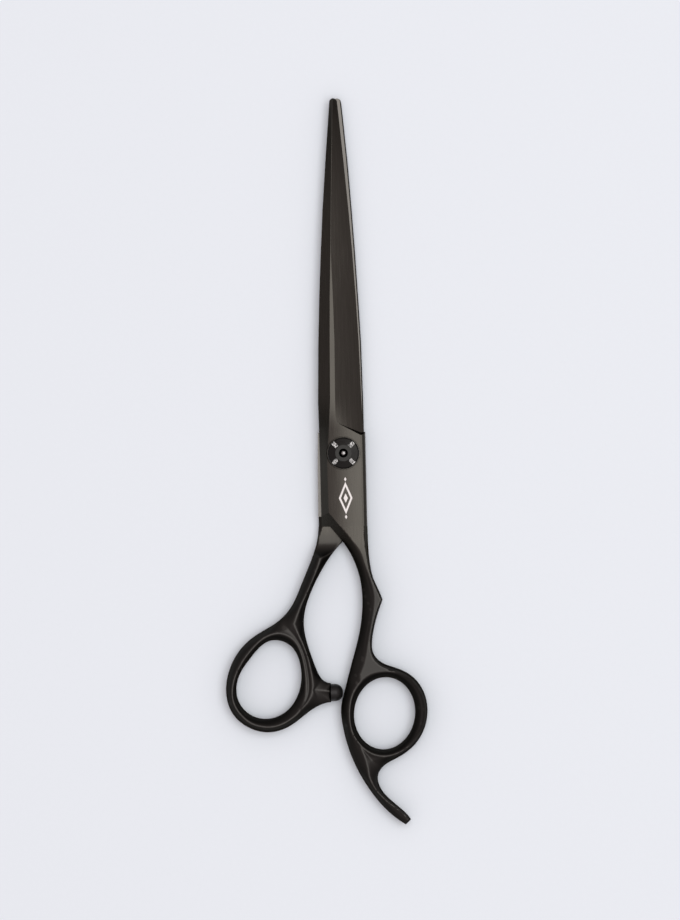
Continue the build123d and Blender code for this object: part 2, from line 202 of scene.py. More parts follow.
def dent(finish, height, depth):
    """Return a normal bumped by height, a reading from 0 to 1, times depth in millimetres."""
    sockets = {"Height": height, "Distance": depth * MM, "Strength": 1.0}
    return finish.node("Bump", None, sockets, "Normal")


# %% [markdown]
# The blades' black coat
#
# The blades are ground lengthwise, polished and then coated in a thin hard black. The coat keeps the
# grinding's fine lines, and it dulls a little where fingers leave a film. The inner faces are honed again
# after coating where they ride, so they shine a shade lighter. The panel round the pivot is flat in CAD, but
# a soft polishing wheel rounds it over, and the light rolls across it towards the spine. That is a slope
# given to the normal, steeper the further a point is from the line where the panel is truly level.

# %% Blade finish
COAT = colour(0.0425, 0.0405, 0.0352)
COAT_WORN = colour(0.05, 0.0475, 0.0415)
HONED = colour(0.078, 0.0755, 0.069)
HONED_FACING = (0.97, 0.995)  # how squarely a face looks inwards, where honing starts and is whole
GROUND_LINES = (0.22, 9.0, 0.22)  # mm, grain of the lines that the grinding leaves
LINE_DEPTH = 0.0002  # mm
LINE_SHARES = (0.35, 0.75)  # readings of that grain where the coat is whole, and where it is most worn
BLADE_FILM = (9.0, 16.0, 9.0)  # mm, grain of the film that fingers leave
CROWN_X = 4.4  # mm, where the polished panel is level
CROWN = 0.010  # mm of fall, times the square of the distance in mm
CROWN_FADE = (17.0, 7.0)  # y in mm, ahead of the pivot, where the crown has faded out and where it is whole
BLADE_TINT = colour(0.45, 0.42, 0.4)
BLADE_ROUGH = 0.2
LINE_ROUGH = 0.06
FILM_ROUGH = 0.08
HONED_GAIN = 0.04  # how much smoother honing leaves the steel


def crown(finish, position):
    """Return the fall of the panel's crown, in millimetres, fading out ahead of the pivot."""
    x = finish.node("SeparateXYZ", None, {0: position}, "X") - CROWN_X
    y = finish.node("SeparateXYZ", None, {0: position}, "Y")
    return CROWN * x * x * ramp(finish, y, *CROWN_FADE)


def blade_finish(name, inner_faces_up, crowned):
    """Return a blade's black coat, honed on the face that rides on the other blade."""
    finish = Finish(name)
    position = place(finish)
    lines = grains(finish, position, GROUND_LINES, 2.0)
    film = grains(finish, position, BLADE_FILM, 3.0)
    normal = finish.node("TexCoord", output="Normal")
    upward = finish.node("SeparateXYZ", None, {0: normal}, "Z")
    inward = upward if inner_faces_up else upward * -1.0
    honed = ramp(finish, inward, *HONED_FACING)
    coat = blend_colours(finish, ramp(finish, lines, *LINE_SHARES), COAT, COAT_WORN)
    relief = LINE_DEPTH * lines
    if crowned:
        relief = relief - crown(finish, position)
    return finish.surface(
        Base_Color=blend_colours(finish, honed, coat, HONED),
        Metallic=1.0,
        Roughness=BLADE_ROUGH + LINE_ROUGH * lines + FILM_ROUGH * film - HONED_GAIN * honed,
        Normal=dent(finish, relief, 1.0),
        Specular_Tint=BLADE_TINT,
    )


finger_blade_black = blade_finish("finger_blade_black", False, True)
thumb_blade_black = blade_finish("thumb_blade_black", True, False)
print("blade finishes made")

# %% [markdown]
# The handles' satin black
#
# Next to the weld a handle is ground and polished together with its blade, and that polish fades into the
# tumbled satin of the shank: a fine even peel instead of ground lines. So the finish mixes the two by how
# far a point is from the weld. On pointed ridges, in patches, the coat is painted a trace lighter: a painted
# sheen where the ridges catch the light, with a little wear from the hand.

# %% Handle finish
SATIN = colour(0.0285, 0.028, 0.0262)
# the satin with a painted sheen on its ridges, and a little wear
SATIN_WEAR_AND_SHEEN = colour(0.046, 0.045, 0.042)
WEAR_AND_SHEEN_EDGE = (0.5, 0.56)  # how pointed an edge is where the painted sheen and wear start, and where they are whole
WEAR_AND_SHEEN_FILM = (0.25, 0.6)  # and they show only in some places, by the film's grain
PEEL = (0.16, 0.16, 0.16)  # mm, grain of the tumbled satin
PEEL_DEPTH = 0.0015  # mm
HANDLE_FILM = (7.0, 11.0, 7.0)  # mm
SATIN_TINT = colour(0.35, 0.34, 0.33)
SATIN_ROUGH = 0.29
PEEL_ROUGH = 0.06
HAND_ROUGH = 0.07
POLISH_GAIN = 0.09  # how much smoother the blade's polish is than the satin
FINGER_POLISH = (-38.0, -25.0)  # y in mm where the blade's polish has faded out, and where it is whole
THUMB_POLISH = (-29.0, -20.5)  # the same for the thumb handle, whose polish ends at its ramp


def handle_finish(name, polish_ends, crowned):
    """Return a handle's satin black, which takes over from its blade's polish."""
    finish = Finish(name)
    position = place(finish)
    peel = grains(finish, position, PEEL, 2.0)
    lines = grains(finish, position, GROUND_LINES, 2.0)
    film = grains(finish, position, HANDLE_FILM, 3.0)
    along = finish.node("SeparateXYZ", None, {0: position}, "Y")
    polish = ramp(finish, along, *polish_ends)
    edge = finish.node("NewGeometry", output="Pointiness")
    # painted sheen along pointed ridges, with a little wear, lightens the satin in patches
    wear_and_sheen = ramp(finish, edge, *WEAR_AND_SHEEN_EDGE) * ramp(finish, film, *WEAR_AND_SHEEN_FILM)
    satin = blend_colours(finish, wear_and_sheen, SATIN, SATIN_WEAR_AND_SHEEN)
    coat = blend_colours(finish, ramp(finish, lines, *LINE_SHARES), COAT, COAT_WORN)
    relief = PEEL_DEPTH * peel * (1 - polish) + LINE_DEPTH * lines * polish
    if crowned:
        relief = relief - crown(finish, position) * polish
    return finish.surface(
        Base_Color=blend_colours(finish, polish, satin, coat),
        Metallic=1.0,
        Roughness=SATIN_ROUGH + PEEL_ROUGH * peel + HAND_ROUGH * film - POLISH_GAIN * polish,
        Normal=dent(finish, relief, 1.0),
        Specular_Tint=SATIN_TINT,
    )


finger_handle_black = handle_finish("finger_handle_black", FINGER_POLISH, True)
thumb_handle_black = handle_finish("thumb_handle_black", THUMB_POLISH, False)
print("handle finishes made")

# %% [markdown]
# The tension dial
#
# The dial is turned on a lathe, so its lines run round the pivot axis. Its four driver slots are milled
# after coating, and their floors show bare metal. Height and distance from the axis tell the slots apart.

# %% Dial finish
DIAL_BLACK = colour(0.019, 0.019, 0.018)
BARE_STEEL = colour(0.34, 0.34, 0.33)
SLOT_SHADE = colour(0.04, 0.04, 0.04)
SLOT_DEPTH = 0.8  # mm below the dial's top
SLOT_MARGIN = 0.05  # mm above and below a slot's floor that still count as floor
SLOT_START_R = 2.4  # mm from the pivot axis
TURNED_PITCH = 0.12  # mm between the lathe's rings
TURNED_DEPTH = 0.004  # mm
MILL_MARKS = (0.35, 0.35, 0.35)  # mm, grain of the marks in the slots
MILL_SHARES = (0.42, 0.62)  # readings of that grain that are shaded, and that are bare
DIAL_TINT = colour(0.4, 0.4, 0.4)
DIAL_ROUGH = 0.22
RING_ROUGH = 0.12
MILLED_ROUGH = 0.1
dial_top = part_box("adjuster_dial")[1].z / MM


def round_axis(finish, position):
    """Return the distance from the pivot axis and the height, in millimetres."""
    flat = finish.node("VectorMath", {"operation": "MULTIPLY"}, {0: position, 1: (1.0, 1.0, 0.0)})
    radius = finish.node("VectorMath", {"operation": "LENGTH"}, {0: flat}, "Value")
    height = finish.node("SeparateXYZ", None, {0: position}, "Z")
    return radius, height


def turned(finish, radius, pitch):
    """Return the fine rings that a lathe leaves, from 0 to 1."""
    line = finish.node("CombineXYZ", None, {"X": radius * (1 / pitch)})
    return finish.node("TexNoise", None, {"Vector": line, "Scale": 1.0, "Detail": 1.0}, "Fac")


def dial_finish():
    """Return the dial's turned black, with bare steel on the floors of its slots."""
    finish = Finish("dial_turned_black")
    position = place(finish)
    radius, height = round_axis(finish, position)
    rings = turned(finish, radius, TURNED_PITCH)
    floor = dial_top - SLOT_DEPTH
    floors = (height < floor + SLOT_MARGIN) * (height > floor - SLOT_MARGIN) * (radius > SLOT_START_R)
    mill_marks = grains(finish, position, MILL_MARKS, 1.0)
    bare = blend_colours(finish, ramp(finish, mill_marks, *MILL_SHARES), SLOT_SHADE, BARE_STEEL)
    return finish.surface(
        Base_Color=blend_colours(finish, floors, DIAL_BLACK, bare),
        Metallic=1.0,
        Roughness=DIAL_ROUGH + RING_ROUGH * rings + MILLED_ROUGH * floors,
        Normal=dent(finish, rings, TURNED_DEPTH),
        Specular_Tint=DIAL_TINT,
    )


dial_black = dial_finish()
print(f"dial finish made, dial top at {dial_top:.2f} mm")

# %% [markdown]
# The small hardware
#
# The stud is dark steel, turned on its head and end. The spring is blued strip, the bush and washer are
# brass and the glide washer is white plastic. The bumper is a soft black rubber with a mould's faint
# mottling. They are small, so each gets one fine pattern at its real scale and a slow change of shade.

# %% Hardware finishes
RING_SHARE = 0.6  # how much of a turned metal's change of shade follows the lathe's rings
METAL_CLOUD = (1.3, 1.3, 1.3)  # mm, grain of the slow change of shade
MOULD_CLOUD = (2.5, 2.5, 2.5)  # mm
METAL_RING_DEPTH = 0.003  # mm
SKIN_ROUGH = 0.15
MOULDED_SPECULAR = 0.22  # below the usual half, since soft rubber and printed ink reflect little


def turned_metal(name, dark, light, roughness, pitch):
    """Return a lathe-turned metal between two shades."""
    finish = Finish(name)
    position = place(finish)
    radius = round_axis(finish, position)[0]
    rings = turned(finish, radius, pitch)
    cloud = grains(finish, position, METAL_CLOUD, 3.0)
    shade = RING_SHARE * rings + (1 - RING_SHARE) * cloud
    return finish.surface(
        Base_Color=blend_colours(finish, shade, dark, light),
        Metallic=1.0,
        Roughness=roughness + RING_ROUGH * rings,
        Normal=dent(finish, rings, METAL_RING_DEPTH),
    )


def moulded(name, dark, light, roughness, grain, depth):
    """Return a moulded plastic or rubber with a mottled skin."""
    finish = Finish(name)
    position = place(finish)
    skin = grains(finish, position, (grain, grain, grain), 3.0)
    cloud = grains(finish, position, MOULD_CLOUD, 2.0)
    return finish.surface(
        Base_Color=blend_colours(finish, cloud, dark, light),
        Roughness=roughness + SKIN_ROUGH * skin,
        Normal=dent(finish, skin, depth),
        Specular_IOR_Level=MOULDED_SPECULAR,
    )


# %% Each metal and plastic, from its darkest to its lightest shade
STEEL = (colour(0.14, 0.14, 0.14), colour(0.24, 0.24, 0.23))
BLUED = (colour(0.08, 0.085, 0.1), colour(0.16, 0.165, 0.19))
BRASS = (colour(0.55, 0.37, 0.13), colour(0.78, 0.56, 0.24))
GLIDE = (colour(0.62, 0.62, 0.58), colour(0.8, 0.8, 0.77))
RUBBER = (colour(0.006, 0.006, 0.006), colour(0.012, 0.012, 0.0115))
stud_steel = turned_metal("stud_steel", *STEEL, roughness=0.12, pitch=0.1)
spring_blue = turned_metal("spring_blued", *BLUED, roughness=0.24, pitch=0.3)
brass = turned_metal("bearing_brass", *BRASS, roughness=0.2, pitch=0.15)
glide_white = moulded("glide_white", *GLIDE, roughness=0.42, grain=0.25, depth=0.004)
rubber_black = moulded("bumper_black", *RUBBER, roughness=0.3, grain=0.2, depth=0.005)
print("hardware finishes made")

# %% [markdown]
# Dressing the CAD pieces
#
# A CAD piece whose shape is right keeps it and only takes a finish. Blades, stud, bush, washers, spring,
# dial and bumper are such pieces: flats, cones and turned rings that CAD gives exactly.

# %% Give each CAD piece its finish
DRESS = {
    "finger_blade": finger_blade_black,
    "thumb_blade": thumb_blade_black,
    "finger_handle": finger_handle_black,
    "thumb_handle": thumb_handle_black,
    "pivot_stud": stud_steel,
    "pivot_bush": brass,
    "thrust_washer": brass,
    "glide_washer": glide_white,
    "click_spring": spring_blue,
    "adjuster_dial": dial_black,
    "bumper_stud": stud_steel,
    "bumper_pad": rubber_black,
}
for node_name, material in DRESS.items():
    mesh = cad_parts[node_name].data
    mesh.materials.clear()
    mesh.materials.append(material)
print("dressed", len(DRESS), "CAD pieces")

# %% [markdown]
# Sculpted handles: the plan
#
# A handle is a flat forging in plan, but nothing on it is flat except a narrow facet down the shank.
# From that facet and from a ridge round each ring, the metal falls away in soft flanks to a thin rim. A box
# model with subdivision could give this, yet its rings pull out of round. Here the plan stays exact: the CAD
# handle is cut at one level to get its outline, the inside is filled with small triangles, and each
# point's height comes from how far it is from the rim and from the nearest ridge.

# %% Smooth lines through a few points
STEP = 0.25  # mm between neighbouring points


def smooth_line(points, closed=False, step=STEP):
    """Return points at about even steps along a smooth curve through the given ones."""
    points = np.array(points, float)
    if closed:
        padded = np.vstack([points[-1:], points, points[:2]])
    else:
        padded = np.vstack([2 * points[0] - points[1], points, 2 * points[-1] - points[-2]])
    runs = []
    for before, start, end, after in zip(padded, padded[1:], padded[2:], padded[3:]):
        count = max(2, round(np.linalg.norm(end[:2] - start[:2]) / step))
        t = np.linspace(0, 1, count, endpoint=False)[:, None]
        bend = 2 * start - 2 * end + (end - before) / 2 + (after - start) / 2
        turn = 3 * (end - start) - (end - before) - (after - start) / 2
        runs.append(start + t * (end - before) / 2 + t**2 * turn + t**3 * bend)
    if not closed:
        runs.append(points[-1:])
    return np.vstack(runs)


# %% [markdown]
# The ridge lines
#
# Each line is a few points in the shears' frame, in millimetres, as a maker would scribe them on the blank.
# A third number is the height of the ridge above the middle plane. A facet is a closed outline, and all of
# its inside stands at full height.

# %% The finger handle's ridges
FULL = RIDE_Z
FINGER_FACET_LEFT = [
    (-5.0, -16.6), (-0.9, -21.7), (1.5, -24.55), (3.2, -26.5), (4.4, -28.6), (5.3, -31.4), (6.3, -34.7),
    (7.1, -37.3), (7.7, -39.7), (7.95, -42.0), (7.6, -45.1), (7.0, -48.2), (6.2, -52.0), (5.65, -55.2),
    (5.15, -58.4), (4.5, -61.0), (3.4, -63.6),
]
FINGER_FACET_FOOT = [(3.4, -65.2), (4.9, -63.9), (6.7, -63.15), (9.0, -62.7), (11.3, -62.7)]
FINGER_FACET_UPPER = [
    (11.3, -62.3), (9.05, -61.2), (7.25, -59.3), (6.45, -57.1), (6.3, -54.6), (6.65, -52.0), (7.55, -48.2),
    (8.5, -45.2), (9.75, -42.25),
]
FINGER_FACET_RIGHT = [
    (9.75, -42.25), (9.2, -41.0), (8.4, -39.1), (7.45, -36.7), (6.6, -34.0), (6.05, -30.7), (5.6, -27.2),
    (5.2, -24.0), (5.05, -20.0),
]
FINGER_RING = [
    (0.6, -70.3), (-0.05, -74.5), (0.35, -79.0), (1.7, -82.2), (4.2, -85.1), (7.3, -86.8), (10.8, -87.1),
    (14.7, -85.8), (18.0, -83.3), (20.6, -79.6), (21.7, -75.1), (21.0, -69.9), (18.1, -65.6), (14.8, -63.5),
    (11.4, -62.85), (7.5, -63.15), (4.6, -64.5), (2.1, -67.2),
]
REST_RIDGE = [
    (2.9, -84.2, 3.4), (4.1, -87.4, 3.4), (4.8, -90.3, 3.3), (5.4, -93.5, 3.2), (7.2, -96.9, 3.05),
    (9.7, -99.7, 2.85), (12.2, -101.8, 2.6), (14.8, -103.9, 2.35), (15.9, -105.4, 2.2),
]

# %% The thumb handle's ridges
THUMB_SHANK_RIDGE = [
    (-5.6, -26.0), (-7.0, -29.0), (-8.1, -32.2), (-9.5, -35.6), (-11.2, -39.3), (-12.9, -42.7),
    (-14.3, -45.9), (-15.4, -48.7),
]
THUMB_SIDE_RIDGE = [
    (-15.4, -48.7, 3.4), (-14.2, -51.6, 3.3), (-12.9, -54.6, 3.2), (-11.6, -58.4, 3.15), (-10.8, -62.3, 3.15),
    (-10.4, -65.4, 3.15), (-10.6, -68.3, 3.15), (-11.8, -70.9, 3.15), (-13.8, -73.1, 3.15),
]
BUMPER_BOSS_RIDGE = [(-9.9, -67.7, 2.8), (-8.0, -67.9, 2.55), (-6.4, -68.1, 2.4), (-5.3, -68.3, 2.3)]
THUMB_RING = [
    (-20.1, -51.25, 3.3), (-23.9, -52.4, 3.4), (-27.3, -55.3, 3.4), (-30.4, -59.2, 3.4), (-32.6, -63.5, 3.4),
    (-33.5, -67.8, 3.4), (-33.0, -71.3, 3.4), (-31.2, -74.3, 3.4), (-28.4, -76.8, 3.4), (-24.6, -78.0, 3.4),
    (-20.9, -77.8, 3.35), (-17.5, -76.3, 3.2), (-14.5, -73.8, 3.0), (-12.7, -70.2, 2.9), (-12.3, -66.3, 2.9),
    (-12.5, -62.0, 2.9), (-13.3, -57.9, 2.9), (-14.7, -54.4, 2.9), (-16.9, -52.2, 3.1),
]

# %% Creases carried on from the blades
DIAGONAL_START = (-1.38, -21.0)  # on the weld, the top edge of the finger panel's diagonal bevel
CREST_AXIS = (-18.68, -39.84)  # past the crotch that edge curves away round here
CREST_R = 25.3
CREST_ANGLES = np.radians(np.arange(38.9, 14, -2.2))
crest_arc = CREST_AXIS + CREST_R * np.column_stack([np.cos(CREST_ANGLES), np.sin(CREST_ANGLES)])
DIAGONAL_CREASE = np.vstack([np.linspace(DIAGONAL_START, crest_arc[0], 5)[:-1], crest_arc])
HEEL_CREASE = [(-6.55, -21.0), (-7.5, -23.75), (-8.45, -26.5)]
print("ridge lines set, full height", round(FULL, 2), "mm above the middle plane")

# %% [markdown]
# Reading the outline off the CAD handle
#
# A level cut through the CAD handle gives its outer outline and the outline of its ring's hole. The cut is
# made where the flanks stand upright, clear of the bevels and of the bumper stud's bore. Its points are
# unevenly spaced, so each outline is walked again in even steps, and only real corners, such as the pointed
# notch on the finger shank, are kept as they are.

# %% Cut a level outline
SAME_POINT = 0.0005  # mm, mesh points closer than this are one


def millimetre_mesh(node_name):
    """Return a closed copy of a CAD piece's mesh, in millimetres."""
    copy = bmesh.new()
    copy.from_mesh(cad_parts[node_name].data)
    bmesh.ops.scale(copy, vec=(1 / MM, 1 / MM, 1 / MM), verts=copy.verts)
    bmesh.ops.remove_doubles(copy, verts=copy.verts, dist=SAME_POINT)
    return copy


def level_outlines(node_name, height):
    """Cut a CAD piece at a height and return its outlines, the largest first."""
    cut = millimetre_mesh(node_name)
    everything = cut.verts[:] + cut.edges[:] + cut.faces[:]
    plane = {"plane_co": (0, 0, height), "plane_no": (0, 0, 1)}
    result = bmesh.ops.bisect_plane(cut, geom=everything, clear_inner=True, clear_outer=True, **plane)
    edges = {item for item in result["geom_cut"] if isinstance(item, bmesh.types.BMEdge)}
    loops = []
    while edges:
        edge = edges.pop()
        start, corner = edge.verts
        loop = [start]
        while corner is not start:
            loop.append(corner)
            edge = next(other for other in corner.link_edges if other in edges)
            edges.discard(edge)
            corner = edge.other_vert(corner)
        loops.append(np.array([(v.co.x, v.co.y) for v in loop]))
    cut.free()
    return sorted(loops, key=lambda loop: -abs(signed_area(loop)))


def signed_area(loop):
    """Return a closed loop's area, positive when it runs anticlockwise."""
    x, y = loop.T
    return 0.5 * np.sum(x * np.roll(y, -1) - np.roll(x, -1) * y)


# %% Walk an outline in even steps
CORNER = math.radians(20)


def even_loop(loop, anticlockwise):
    """Return a closed loop with a point every STEP, keeping its corners."""
    if (signed_area(loop) > 0) != anticlockwise:
        loop = loop[::-1]
    rightmost = np.lexsort((loop[:, 1], loop[:, 0]))[-1]
    loop = np.roll(loop, -rightmost, 0)  # the cut starts anywhere, but the skin has to come out the same
    ahead = np.roll(loop, -1, 0) - loop
    heading = np.unwrap(np.arctan2(ahead[:, 1], ahead[:, 0]))
    turn = np.abs((heading - np.roll(heading, 1) + np.pi) % (2 * np.pi) - np.pi)
    corners = np.flatnonzero(turn > CORNER)
    if len(corners) == 0:
        corners = np.array([0])
    runs = []
    for first, last in zip(corners, np.append(corners[1:], corners[0] + len(loop))):
        run = loop[np.arange(first, last + 1) % len(loop)]
        along = np.concatenate([[0], np.cumsum(np.linalg.norm(np.diff(run, axis=0), axis=1))])
        count = max(1, round(along[-1] / STEP))
        places = np.linspace(0, along[-1], count, endpoint=False)
        runs.append(np.column_stack([np.interp(places, along, run[:, axis]) for axis in (0, 1)]))
    return np.vstack(runs)


# %% [markdown]
# Distances and insides
#
# Two questions decide every height: how far is the nearest rim or ridge, and is the point inside a facet?
# Both are answered for all points at once, one line segment at a time.

# %% Measure to lines and test insides
NEAR = 0.2  # mm, segments closer than this count alike
TINY = 1e-12  # keeps a division by nothing from failing


def nearest(points, segments):
    """Return each point's distance to the nearest segment, and the ridge height round there.

    The height is a mean over all segments, in which near ones count most, so that it never jumps.
    """
    best = np.full(len(points), np.inf)
    pull = np.zeros(len(points))
    height = np.zeros(len(points))
    for start, end in segments:
        run = end[:2] - start[:2]
        share = np.clip((points - start[:2]) @ run / max(run @ run, TINY), 0, 1)
        gap = np.linalg.norm(points - start[:2] - share[:, None] * run, axis=1)
        best = np.minimum(best, gap)
        weight = 1 / (gap**2 + NEAR**2) ** 2
        pull += weight
        height += weight * (start[2] + share * (end[2] - start[2]))
    return best, height / pull


def inside(points, loop):
    """Return which points lie inside a closed loop."""
    x, y = points.T
    odd = np.zeros(len(points), bool)
    for (x0, y0), (x1, y1) in zip(loop[:, :2], np.roll(loop[:, :2], -1, 0)):
        crosses = (y0 > y) != (y1 > y)
        odd ^= crosses & (x < (x1 - x0) * (y - y0) / (y1 - y0 + TINY) + x0)
    return odd


def with_height(line):
    """Return a line whose third number is the ridge height, full where it has none."""
    return line if line.shape[1] == 3 else np.column_stack([line, np.full(len(line), FULL)])


def segments_of(line, closed):
    """Return a line's segments as pairs of points."""
    ends = np.roll(line, -1, 0)
    pairs = list(zip(line, ends))
    return pairs if closed else pairs[:-1]


def all_segments(lines):
    """Return the segments of all lines, each given with whether it is closed."""
    return [pair for line, closed in lines for pair in segments_of(with_height(line), closed)]


# %% [markdown]
# The flank between rim and ridge
#
# The section from rim to ridge starts steeply, like a rounded edge, and then runs almost straight, like a
# filed flank. A mixture of a straight line and a quarter circle gives both. Next to the weld the outside
# has to meet the blade exactly, so there the height is read off the CAD handle with a straight drop, and it
# gives way to the sculpted one within a few millimetres. The inner side is never higher than the CAD's own
# ramp, which clears the other half.

# %% Heights of a handle's two sides
RIM_HALF = 1.0  # mm from the middle plane to the rim's edge
RIM_ROUND = 0.3  # share of quarter circle in a flank
CREST = 0.3  # mm, how softly a ridge is rounded over
LEAST_GAP = 1e-6  # mm, taken where rim and ridge meet
WELD_KEEP = (-24.0, -30.0)  # y where the CAD's outside starts and stops giving way
PANEL_EDGE_GAPS = (0.0, 0.2, 0.95, 1.5)  # mm in from the panel's long side
PANEL_EDGE_DROPS = (1.5, 1.3, 0.12, 0.0)  # mm down from its top
PANEL_SIDE_X = 4.0  # the outline beyond this x, near the weld, is that side
SOFT = 0.1  # mm, softness of the crease along the ramp
EDGE_BREAK = 0.45  # mm, the inner face's broken edge
EDGE_BREAK_RUN = 2.0  # mm behind the weld in which that break grows to its full size
RAMP_CLEAR = 0.5  # mm that the ramp lies below the body where the break is whole
ABOVE_ALL = 50.0  # mm from the middle plane, clear of every piece


def sculpted(rim_gap, ridge_gap, ridge_height):
    """Return the height above the middle plane from the gaps to rim and ridge."""
    crest = np.sqrt(ridge_gap**2 + CREST**2) - CREST
    share = rim_gap / np.maximum(rim_gap + crest, LEAST_GAP)
    curve = (1 - RIM_ROUND) * share + RIM_ROUND * np.sqrt(np.maximum(1 - (1 - share) ** 2, 0))
    return RIM_HALF + (ridge_height - RIM_HALF) * curve


def panel_edge(rim_gap):
    """Return the height of the rounded long side that the handle carries on from its blade's panel."""
    return FULL - np.interp(rim_gap, PANEL_EDGE_GAPS, PANEL_EDGE_DROPS)


def cad_heights(tree, points, from_above):
    """Return how far the CAD's face stands off the middle plane, above or below."""
    direction = -1 if from_above else 1
    found = []
    for x, y in points:
        start = Vector((x, y, RIDE_Z - ABOVE_ALL * direction))
        hit = tree.ray_cast(start, Vector((0, 0, direction)))[0]
        found.append(np.nan if hit is None else (hit.z - RIDE_Z) * -direction)
    return np.array(found)


def softer_lower(first, second):
    """Return the lower of two heights, with the crease between them softened."""
    return -SOFT * np.log(np.exp(-first / SOFT) + np.exp(-second / SOFT))


# %% [markdown]
# Filling and closing the skin
#
# Points are laid on the outline, in two narrow rows just inside it where the flank is steepest, along every
# ridge and crease, and on a fine grid elsewhere. A Delaunay fill joins them without slivers. The same net
# makes the upper and the lower side, and walls along the outlines close the solid.

# %% Lay the points of a skin
ROWS = (0.05, 0.14)  # mm inside the outline
GRID_FROM_RIM = 0.24  # mm that the grid keeps from the outline
GRID_FROM_RIDGE = 0.14
RIDGE_FROM_RIM = 0.18


def inset(loop, depth):
    """Return a loop's points moved inwards by a small depth."""
    along = np.roll(loop, -1, 0) - np.roll(loop, 1, 0)
    along /= np.linalg.norm(along, axis=1)[:, None]
    return loop + depth * np.column_stack([-along[:, 1], along[:, 0]])


def lay_points(loops, lines):
    """Return outline points and free points for a skin."""
    outline = np.vstack(loops)
    low, high = outline.min(0), outline.max(0)
    columns = np.arange(low[0], high[0], STEP)
    rows = np.arange(low[1], high[1], STEP * math.sqrt(3) / 2)
    x, y = np.meshgrid(columns, rows)
    x = x + (np.arange(len(rows)) % 2)[:, None] * STEP / 2
    grid = np.column_stack([x.ravel(), y.ravel()])
    grid = grid[inside_outline(grid, loops)]
    rims = all_segments((loop, True) for loop in loops)
    grid = grid[nearest(grid, rims)[0] > GRID_FROM_RIM]
    grid = grid[nearest(grid, all_segments(lines))[0] > GRID_FROM_RIDGE]
    crest = np.vstack([line[:, :2] for line, closed in lines])
    crest = crest[inside_outline(crest, loops)]
    crest = crest[nearest(crest, rims)[0] > RIDGE_FROM_RIM]
    edge_rows = [inset(loop, depth) for loop in loops for depth in ROWS]
    return outline, np.vstack([*edge_rows, crest, grid])


def inside_outline(points, loops):
    """Return which points lie in the metal: inside the outline and outside the hole."""
    held = inside(points, loops[0])
    for hole in loops[1:]:
        held &= ~inside(points, hole)
    return held


# %% Fill a plan with triangles
FILL_KIND = 1  # the fill's triangles stay inside the outlines
FILL_GAP = 1e-6  # mm, laid points closer than this are one


def fill_plan(loops, lines):
    """Return a plan's points, outlines first, its triangles, and the links along its outlines."""
    outline, free = lay_points(loops, lines)
    starts = np.cumsum([0] + [len(loop) for loop in loops])
    links = []
    for start, end in zip(starts, starts[1:]):
        links += [(i, i + 1 if i + 1 < end else start) for i in range(start, end)]
    laid = [Vector(point) for point in np.vstack([outline, free])]
    filled = delaunay_2d_cdt(laid, links, [], FILL_KIND, FILL_GAP)
    points = np.array([tuple(v) for v in filled[0]])
    triangles = np.array(filled[2])
    return points, triangles[inside_outline(points[triangles].mean(1), loops)], links


def beside_panel(loop, gap):
    """Return the line at a gap inside the outline, along the side that carries on the panel's."""
    x, y = loop.T
    row = inset(loop, gap)[(x > PANEL_SIDE_X) & (y > WELD_KEEP[1])]
    return row[np.argsort(row[:, 1])]


# %% The two sides of a skin
def outer_side(points, body, cad_side, rim_gap):
    """Return the outer side: the CAD's own next to the weld, giving way to the sculpted body."""
    keep = np.clip((points[:, 1] - WELD_KEEP[1]) / (WELD_KEEP[0] - WELD_KEEP[1]), 0, 1)
    keep = keep * keep * (3 - 2 * keep)
    by_weld = np.minimum(np.where(np.isnan(cad_side), body, cad_side), panel_edge(rim_gap))
    return body + keep * (by_weld - body)


def inner_side(points, body, cad_side, rim_gap):
    """Return the inner side: never above the CAD's ramp, and with its edge broken."""
    ramp_side = np.where(np.isnan(cad_side), body, cad_side)
    inner = softer_lower(body, ramp_side)
    fade = np.clip((WELD_Y - points[:, 1]) / EDGE_BREAK_RUN, 0, 1)
    near_edge = 1 - np.clip(rim_gap / EDGE_BREAK, 0, 1)
    on_ramp = np.clip((body - ramp_side) / RAMP_CLEAR, 0, 1)
    return inner - fade * on_ramp * EDGE_BREAK * (1 - np.sqrt(1 - near_edge**2))


# %% Build a skin
PROBE_IN = 0.02  # mm, how far inside the outline the CAD's height is read
WELD_SLACK = 0.01  # mm behind the weld, from where an edge of the outline counts as a rim


def handle_skin(name, node_name, cut_height, inner_is_top, lines, facets, creases):
    """Build a sculpted handle over a CAD handle; lines and facets are its ridges."""
    outlines = level_outlines(node_name, cut_height)
    loops = [even_loop(loop, anticlockwise=index == 0) for index, loop in enumerate(outlines)]
    ridges = lines + [(facet, True) for facet in facets]
    if not inner_is_top:
        creases = creases + [beside_panel(loops[0], gap) for gap in PANEL_EDGE_GAPS[1:]]
    crease_lines = [(with_height(smooth_line(crease, step=STEP / 2)), False) for crease in creases]
    points, triangles, links = fill_plan(loops, ridges + crease_lines)

    rims = all_segments((loop, True) for loop in loops)
    free_rims = [(a, b) for a, b in rims if min(a[1], b[1]) < WELD_Y - WELD_SLACK]
    rim_gap = nearest(points, free_rims)[0]
    ridge_gap, ridge_height = nearest(points, all_segments(ridges))
    for facet in facets:
        ridge_gap[inside(points, facet)] = 0
    body = sculpted(rim_gap, ridge_gap, np.minimum(ridge_height, FULL))

    inner_rows = np.vstack([inset(loop, PROBE_IN) for loop in loops])
    probe = np.vstack([inner_rows, points[len(inner_rows) :]])
    solid = millimetre_mesh(node_name)
    tree = BVHTree.FromBMesh(solid)
    outer_cad = cad_heights(tree, probe, from_above=not inner_is_top)
    inner_cad = cad_heights(tree, probe, from_above=inner_is_top)
    outer = outer_side(points, body, outer_cad, rim_gap)
    inner = inner_side(points, body, inner_cad, rim_gap)
    solid.free()
    upper, lower = (inner, outer) if inner_is_top else (outer, inner)
    return stitch(name, points, triangles, links, RIDE_Z + upper, RIDE_Z - lower)


# %% Stitch two sides and walls into one closed skin
CREASE = math.radians(50)


